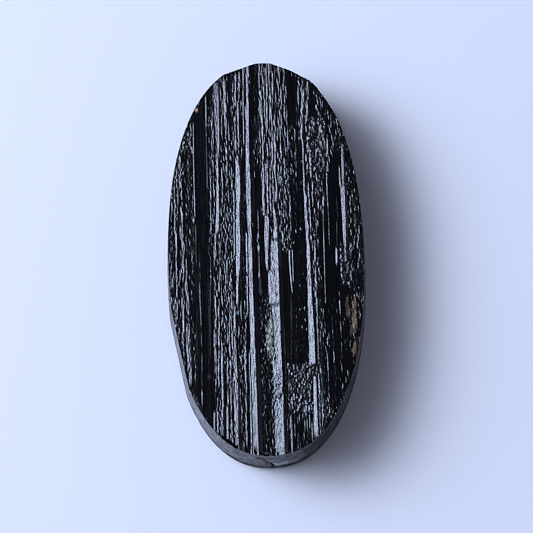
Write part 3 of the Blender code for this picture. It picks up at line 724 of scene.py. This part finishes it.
def wall_stains(angle, z):
    """Depth of the chips and cracks, colours of the marks with strength as alpha, and how far the wall is
    painted black: painted shade along the foot and the dark marks.
    """
    depth = np.zeros(angle.shape)
    colours = np.zeros(angle.shape + (4,))
    around = np.degrees(angle) % 360.0
    # Painted shade: the foot of the wall is painted black where it meets the paper, with an uneven top
    # edge.
    uneven = z + FOOT_SHADE_UNEVEN * value_noise(around, z, *FOOT_SHADE_CELL, FOOT_SHADE_SEED)
    foot_shade_and_ink = FOOT_SHADE_STRENGTH * np.clip((FOOT_SHADE_HIGH - uneven) / (FOOT_SHADE_HIGH - FOOT_SHADE_LOW), 0.0, 1.0)
    for number, (facing, half_width, middle, half_height, deep) in enumerate(CHIPS):
        off = degrees_between(around, facing)
        reach = np.hypot(off / half_width, (z - middle) / half_height)
        depth = np.maximum(depth, deep * ragged_patch(reach, around, z, CHIP_EDGE, CHIP_SEED + number))
    for number, (colour, strength, half_width, deep, path) in enumerate(WALL_MARKS):
        places = [(facing * MM_A_DEGREE, height / MARK_STRETCH) for facing, height in path]
        reach = from_line(around * MM_A_DEGREE, z / MARK_STRETCH, places) / half_width
        share = ragged_patch(reach, around, z, MARK_EDGE, MARK_SEED + number)
        depth = np.maximum(depth, deep * share)
        colours[:, :3] = np.where((share > 0.0)[:, None], colour, colours[:, :3])
        colours[:, 3] = np.where(share > 0.0, strength * share, colours[:, 3])
        if colour is INK_AND_SHADE:
            foot_shade_and_ink = np.maximum(foot_shade_and_ink, strength * share)
    return depth, colours, foot_shade_and_ink


def wall_ring(angle, edge, number):
    """Points of one ring down the wall, with the colours of its marks and how far it is painted black:
    painted shade along the foot and the dark marks.
    """
    level = WALL_HEIGHTS[number]
    height = np.minimum(level, edge - RING_GAP * (number + 1))
    inset = WALL_LEAN * (height - FOOT_HEIGHT) / EDGE_HEIGHT
    if level < FOOT_HEIGHT:
        inset = FOOT_INSET * (1.0 - math.sqrt(1.0 - (1.0 - level / FOOT_HEIGHT) ** 2))
    depth, marks, foot_shade_and_ink = wall_stains(angle, height)
    radius = oval_radius(angle, inset) - depth
    if level > FOOT_HEIGHT:
        cell_x, cell_y, uneven, seed = WALL_UNEVEN
        radius += uneven * value_noise(np.degrees(angle), height, cell_x, cell_y, seed) - uneven
    return np.stack([radius * np.cos(angle), radius * np.sin(angle), height], axis=-1), marks, foot_shade_and_ink


def stone_mesh():
    """Mesh of the whole stone: fine top, wall, foot and base."""
    reach = (HALF_WIDTH - TOP_INSET) * TOP_REACH
    x_line = np.linspace(-reach, reach, COLUMNS)
    lows, highs = oval_ends(x_line, TOP_INSET)
    columns = [column_places(*place) for place in zip(x_line, lows, highs)]
    sizes = np.array([len(column) for column in columns])
    first = np.concatenate([[0], np.cumsum(sizes)])
    x = np.repeat(x_line, sizes)
    y = np.concatenate(columns)
    top = np.concatenate([zip_columns(*pair) for pair in zip(columns, columns[1:], first, first[1:])])
    points = [np.stack([x, y, top_height(x, y)], axis=-1)]
    colours = [stain_and_glint_colours(x, y)]
    lively = [top_liveliness(x, y)]

    lowest = first[:-1]
    highest = first[1:] - 1
    last_column = np.arange(lowest[-1], highest[-1])
    first_column = np.arange(highest[0], lowest[0], -1)
    rim = np.concatenate([lowest[:-1], last_column, highest[:0:-1], first_column])
    angle = np.arctan2(y[rim], x[rim])
    edge = points[0][rim, 2]
    ring = rim
    base = len(x)
    quads = []
    for number in range(len(WALL_HEIGHTS)):
        for kept, new in zip((points, colours, lively), wall_ring(angle, edge, number)):
            kept.append(new)
        lower = base + np.arange(len(rim))
        quads.append(np.stack([ring, lower, np.roll(lower, -1), np.roll(ring, -1)], axis=-1))
        ring = lower
        base += len(rim)
    points.append(np.zeros((1, 3)))
    colours.append(np.zeros((1, 4)))
    lively.append(np.zeros(1))
    fan = np.stack([np.roll(ring, -1), ring, np.full(len(rim), base)], axis=-1)

    mesh = bpy.data.meshes.new("raw_slab")
    faces = top.tolist() + np.concatenate(quads).tolist() + fan.tolist()
    mesh.from_pydata((np.concatenate(points) * MM).tolist(), [], faces)
    materials = np.ones(len(mesh.polygons), dtype=np.int32)
    materials[:len(top)] = 0
    mesh.polygons.foreach_set("material_index", materials)
    # On the top, lively tells how broken or steep a place is, and on the wall how far it is painted black:
    # painted shade along the foot and the dark marks.
    attribute = mesh.attributes.new("lively", "FLOAT", "POINT")
    attribute.data.foreach_set("value", np.concatenate(lively).astype(np.float32))
    attribute = mesh.attributes.new("stain_and_glint", "FLOAT_COLOR", "POINT")
    attribute.data.foreach_set("color", np.concatenate(colours).astype(np.float32).ravel())
    mesh.update()
    return mesh


# The raw top: colour, sizes of the finest lines and crumbs across, along and up in metres, and
# their relief.
BLACK = (0.002, 0.002, 0.0024, 1.0)
STRAND_SIZE = (0.00011, 0.0016, 0.0006)
STRAND_RELIEF = 0.00002
CRUMB_SIZE = (0.00012, 0.00026, 0.0003)
CRUMB_RELIEF = 0.000028
TOP_DETAIL = 2.0
# Share of that relief where the top is calm.
CALM_RELIEF = 0.2
TOP_ROUGHNESS = (0.12, 0.24)
# Roughness that breaks, stains and the painted glint add.
BROKEN_ROUGHER = 0.08
STAIN_AND_GLINT_ROUGHER = 0.35
# Specks that the stains and the painted glint are made of.
SPECK_SIZE = (0.0002, 0.0002, 0.0002)
SPECK_FROM = (0.35, 0.6)
SPECK_TO = (0.25, 1.0)

# The ground wall: colours, sizes and relief of the scratches and blotches, and gloss.
WALL_DARK = (0.028, 0.028, 0.032, 1.0)
WALL_LIGHT = (0.088, 0.088, 0.097, 1.0)
SCRATCH_SLANT = (0.5, 0.5, 0.0)
SCRATCH_SIZE = (0.0012, 0.0012, 0.00012)
SCRATCH_RELIEF = 0.000012
BLOTCH_SIZE = (0.0011, 0.0011, 0.0014)
BLOTCH_RELIEF = 0.00003
WALL_ROUGHNESS = (0.50, 0.26)
WALL_GLOSS = 0.14

WHOLE = (0.0, 1.0)
REFRACTION = 1.63
SHARP_ANGLE = 38


def feed(tree, socket, value):
    """Set a socket to a value, or link it where the value comes out of a node."""
    if isinstance(value, bpy.types.NodeSocket):
        tree.links.new(value, socket)
    else:
        socket.default_value = value


def add_node(tree, kind, place, **inputs):
    """Add a node and feed its sockets."""
    node = tree.nodes.new(kind)
    node.location = place
    for name, value in inputs.items():
        feed(tree, node.inputs[name.replace("_", " ")], value)
    return node


def add_math(tree, operation, place, *values):
    """Product or sum of values."""
    node = add_node(tree, "ShaderNodeMath", place)
    node.operation = operation
    for socket, value in zip(node.inputs, values):
        feed(tree, socket, value)
    return node.outputs["Value"]


def add_range(tree, place, value, before, after):
    """A value moved from one range to another."""
    node = add_node(tree, "ShaderNodeMapRange", place, Value=value, From_Min=before[0], From_Max=before[1])
    feed(tree, node.inputs["To Min"], after[0])
    feed(tree, node.inputs["To Max"], after[1])
    return node.outputs["Result"]


def mix_colours(tree, place, first, second, share):
    """First colour with a share of the second over it."""
    node = add_node(tree, "ShaderNodeMix", place)
    node.data_type = "RGBA"
    feed(tree, node.inputs["A"], first)
    feed(tree, node.inputs["B"], second)
    feed(tree, node.inputs["Factor"], share)
    return node.outputs["Result"]


def add_bump(tree, place, height, relief, **normal):
    """Surface direction with a relief in metres added."""
    bump = add_node(tree, "ShaderNodeBump", place, Strength=1.0, Distance=relief, Height=height, **normal)
    return bump.outputs["Normal"]


def read_attribute(tree, place, name):
    """Node that reads a value stored with the mesh."""
    node = add_node(tree, "ShaderNodeAttribute", place)
    node.attribute_name = name
    return node


def noise_along(tree, place, vector, size, detail, rough=0.55):
    """Noise with cells of a given size in metres across, along and up."""
    scale = [1.0 / step for step in size]
    stretch = add_node(tree, "ShaderNodeMapping", (place[0] - 200, place[1]), Vector=vector, Scale=scale)
    noise = add_node(
        tree, "ShaderNodeTexNoise", place,
        Vector=stretch.outputs["Vector"], Scale=1.0, Detail=detail, Roughness=rough
    )
    return noise.outputs["Fac"]


def new_material(name):
    """New material, its nodes and its shader."""
    material = bpy.data.materials.new(name)
    material.use_nodes = True
    return material, material.node_tree, material.node_tree.nodes["Principled BSDF"]


def raw_top_material():
    """Glossy black tourmaline with fine growth lines, the stains on it, and a glint painted in as a teal
    spot.
    """
    material, tree, shader = new_material("raw_tourmaline")
    place = add_node(tree, "ShaderNodeTexCoord", (-1800, 0)).outputs["Object"]
    lively = read_attribute(tree, (-1800, -400), "lively").outputs["Fac"]
    stain_and_glint = read_attribute(tree, (-1800, 400), "stain_and_glint")

    specks = noise_along(tree, (-1200, 500), place, SPECK_SIZE, 3.0, 0.7)
    patchy = add_range(tree, (-1000, 500), specks, SPECK_FROM, SPECK_TO)
    amount = add_math(tree, "MULTIPLY", (-700, 500), patchy, stain_and_glint.outputs["Alpha"])
    # The stain colours hold one painted highlight, a teal glint.
    colour = mix_colours(tree, (-400, 400), BLACK, stain_and_glint.outputs["Color"], amount)
    feed(tree, shader.inputs["Base Color"], colour)

    strands = noise_along(tree, (-1200, 0), place, STRAND_SIZE, TOP_DETAIL)
    crumbs = noise_along(tree, (-1200, -300), place, CRUMB_SIZE, TOP_DETAIL)
    shine = add_range(tree, (-700, 200), strands, (0.3, 0.7), TOP_ROUGHNESS)
    dull = add_math(tree, "MULTIPLY_ADD", (-500, 100), lively, BROKEN_ROUGHER, shine)
    stain_and_glint_rough = add_math(tree, "MULTIPLY_ADD", (-300, 100), amount, STAIN_AND_GLINT_ROUGHER, dull)
    feed(tree, shader.inputs["Roughness"], stain_and_glint_rough)

    share = add_range(tree, (-1000, -450), lively, WHOLE, (CALM_RELIEF, 1.0))
    stroke = add_math(tree, "MULTIPLY", (-800, -150), strands, share)
    crumble = add_math(tree, "MULTIPLY", (-600, -400), crumbs, share)
    lines = add_bump(tree, (-500, -200), stroke, STRAND_RELIEF)
    fine = add_bump(tree, (-300, -200), crumble, CRUMB_RELIEF, Normal=lines)
    feed(tree, shader.inputs["Normal"], fine)
    shader.inputs["IOR"].default_value = REFRACTION
    return material


def ground_wall_material():
    """Satin grey-black of the ground wall and base, mottled and finely scratched, with painted shade along
    the foot.
    """
    material, tree, shader = new_material("ground_tourmaline")
    place = add_node(tree, "ShaderNodeTexCoord", (-1800, 0)).outputs["Object"]
    foot_shade_and_ink = read_attribute(tree, (-600, -500), "lively").outputs["Fac"]
    stain_and_glint = read_attribute(tree, (-1200, 400), "stain_and_glint")
    slant = add_node(tree, "ShaderNodeMapping", (-1600, -200), Vector=place, Rotation=SCRATCH_SLANT)
    scratches = noise_along(tree, (-1200, -200), slant.outputs["Vector"], SCRATCH_SIZE, 3.0, 0.65)
    blotches = noise_along(tree, (-1200, 200), place, BLOTCH_SIZE, 4.0, 0.85)

    spread = add_range(tree, (-900, 200), blotches, (0.36, 0.62), WHOLE)
    shade = mix_colours(tree, (-600, 300), WALL_DARK, WALL_LIGHT, spread)
    marked = mix_colours(tree, (-400, 400), shade, stain_and_glint.outputs["Color"], stain_and_glint.outputs["Alpha"])
    # Painted shade: the wall is painted black along the foot, and also in the dark marks.
    colour = mix_colours(tree, (-200, 400), marked, (*INK_AND_SHADE, 1.0), foot_shade_and_ink)
    feed(tree, shader.inputs["Base Color"], colour)

    shine = add_range(tree, (-600, 0), blotches, (0.35, 0.62), WALL_ROUGHNESS)
    feed(tree, shader.inputs["Roughness"], shine)
    scratched = add_bump(tree, (-500, -250), scratches, SCRATCH_RELIEF)
    mottled = add_bump(tree, (-300, -250), blotches, BLOTCH_RELIEF, Normal=scratched)
    feed(tree, shader.inputs["Normal"], mottled)
    # Where the wall is painted black for the shade along the foot and for the dark marks, its gloss goes
    # too.
    gloss = add_range(tree, (-400, -500), foot_shade_and_ink, WHOLE, (WALL_GLOSS, 0.0))
    shader.inputs["Specular IOR Level"].default_value = WALL_GLOSS
    feed(tree, shader.inputs["Specular IOR Level"], gloss)
    shader.inputs["IOR"].default_value = REFRACTION
    return material


def add_object(name, data):
    """Put new data into the scene."""
    added = bpy.data.objects.new(name, data)
    bpy.context.scene.collection.objects.link(added)
    return added


def make_stone():
    """The stone as one piece in place of its plain solid."""
    mesh = stone_mesh()
    mesh.shade_smooth()
    mesh.set_sharp_from_angle(angle=math.radians(SHARP_ANGLE))
    stone = add_object("tourmaline_slab", mesh)
    mesh.materials.append(raw_top_material())
    mesh.materials.append(ground_wall_material())
    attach(stone, "root")
    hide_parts("tourmaline_crystal")


# Light. The tint is cool daylight.
DAYLIGHT = (0.636, 0.735, 1.0)
WINDOW_FROM = (-0.735, 0.22, 0.58)
WINDOW_DISTANCE = 0.6
DISC_SPACING = 0.003
# The window fades outwards: discs seen from the stone under a half angle in degrees, each
# adding its own brightness.
WINDOW_DISCS = [
    (9.0, 10.5),
    (19.0, 6.6),
    (28.0, 2.0),
    (38.0, 0.93),
]
# Brightness of the room low down and overhead, between two shares of the way up, and where
# the camera looks past the paper.
SKY_LOW = 0.395
SKY_HIGH = 0.04
SKY_SPAN = (0.5, 0.85)
SKY_SEEN = 0.8
SKY_TINT = (0.69, 0.726, 1.0)
PAPER_SIZE = 3.0
PAPER_DROP = 0.00001
PAPER_WHITE = 0.82
PAPER_ROUGHNESS = 0.9
PAPER_GLOSS = 0.1


def make_window():
    """Large soft light on the left, a little behind the stone, fading to its rim."""
    direction = Vector(WINDOW_FROM).normalized()
    for number, (half_angle, brightness) in enumerate(WINDOW_DISCS):
        distance = WINDOW_DISTANCE + number * DISC_SPACING
        radius = distance * math.tan(math.radians(half_angle))
        light = bpy.data.lights.new("window", "AREA")
        light.shape = "DISK"
        light.size = 2.0 * radius
        light.energy = brightness * math.pi * math.pi * radius ** 2
        light.color = DAYLIGHT
        window = add_object("window", light)
        window.location = direction * distance
        window.rotation_mode = "QUATERNION"
        window.rotation_quaternion = direction.to_track_quat("Z", "Y")


def make_room():
    """Dim room: darker overhead than low down, and pale where the camera looks past the paper."""
    world = bpy.data.worlds.new("room")
    bpy.context.scene.world = world
    world.use_nodes = True
    tree = world.node_tree
    tree.nodes.clear()
    place = add_node(tree, "ShaderNodeTexCoord", (-900, 0))
    split = add_node(tree, "ShaderNodeSeparateXYZ", (-700, 0), Vector=place.outputs["Generated"])
    fall = add_range(tree, (-500, 0), split.outputs["Z"], SKY_SPAN, (SKY_LOW, SKY_HIGH))
    path = add_node(tree, "ShaderNodeLightPath", (-500, 300))
    seen = add_node(
        tree, "ShaderNodeMix", (-250, 100), Factor=path.outputs["Is Camera Ray"], A=fall, B=SKY_SEEN
    )
    glow = add_node(
        tree, "ShaderNodeBackground", (0, 0), Color=(*SKY_TINT, 1.0), Strength=seen.outputs["Result"]
    )
    add_node(tree, "ShaderNodeOutputWorld", (200, 0), Surface=glow.outputs["Background"])


def make_paper():
    """Sheet of plain pale paper."""
    bpy.ops.mesh.primitive_plane_add(size=PAPER_SIZE, location=(0.0, 0.0, -PAPER_DROP))
    paper = bpy.context.object
    paper.name = "paper"
    material, _, shader = new_material("paper")
    shader.inputs["Base Color"].default_value = (PAPER_WHITE, PAPER_WHITE, PAPER_WHITE, 1.0)
    shader.inputs["Roughness"].default_value = PAPER_ROUGHNESS
    shader.inputs["Specular IOR Level"].default_value = PAPER_GLOSS
    paper.data.materials.append(material)


# Camera: above the stone and a little towards -Y, rolled slightly.
VIEW_TILT = 13.0
VIEW_ROLL = -1.35
VIEW_DISTANCE = 260.0
VIEW_TARGET = (0.02, -0.40, 3.5)
LENS = 175.6
SENSOR_WIDTH = 36.0


def make_camera():
    """Camera that looks down on the stone."""
    camera = add_object("camera", bpy.data.cameras.new("camera"))
    camera.data.sensor_width = SENSOR_WIDTH
    camera.data.lens = LENS
    tilt = math.radians(VIEW_TILT)
    roll = math.radians(VIEW_ROLL)
    back = Vector((0.0, -math.sin(tilt), math.cos(tilt)))
    level = Vector((1.0, 0.0, 0.0))
    upright = back.cross(level)
    right = math.cos(roll) * level + math.sin(roll) * upright
    up = math.cos(roll) * upright - math.sin(roll) * level
    place = (Vector(VIEW_TARGET) + VIEW_DISTANCE * back) * MM
    turn = Matrix((right, up, back)).transposed().to_4x4()
    camera.matrix_world = Matrix.Translation(place) @ turn
    bpy.context.scene.camera = camera


# Crispness of the picture: reach of the sharpening in pixels, its strength, and the gamma
# that it is done in.
SHARPEN_REACH = 2
SHARPEN_STRENGTH = 0.75
SHARPEN_GAMMA = 2.2


def sharpen_picture():
    """Finish the picture like a camera does: add back the difference from a blurred copy."""
    scene = bpy.context.scene
    scene.use_nodes = True
    tree = scene.node_tree
    tree.nodes.clear()
    taken = add_node(tree, "CompositorNodeRLayers", (0, 0)).outputs["Image"]
    lift = add_node(tree, "CompositorNodeGamma", (250, 0), Image=taken, Gamma=1.0 / SHARPEN_GAMMA)
    lifted = lift.outputs["Image"]
    blur = add_node(tree, "CompositorNodeBlur", (500, -200), Image=lifted)
    blur.filter_type = "GAUSS"
    blur.size_x = SHARPEN_REACH
    blur.size_y = SHARPEN_REACH
    detail = add_node(tree, "CompositorNodeMixRGB", (750, -100))
    detail.blend_type = "SUBTRACT"
    feed(tree, detail.inputs[1], lifted)
    feed(tree, detail.inputs[2], blur.outputs["Image"])
    sharp = add_node(tree, "CompositorNodeMixRGB", (1000, 0), Fac=SHARPEN_STRENGTH)
    sharp.blend_type = "ADD"
    feed(tree, sharp.inputs[1], lifted)
    feed(tree, sharp.inputs[2], detail.outputs["Image"])
    lower = add_node(
        tree, "CompositorNodeGamma", (1250, 0), Image=sharp.outputs["Image"], Gamma=SHARPEN_GAMMA
    )
    add_node(tree, "CompositorNodeComposite", (1500, 0), Image=lower.outputs["Image"])


make_stone()
make_window()
make_room()
make_paper()
make_camera()
sharpen_picture()
bpy.context.scene.view_settings.view_transform = "Standard"
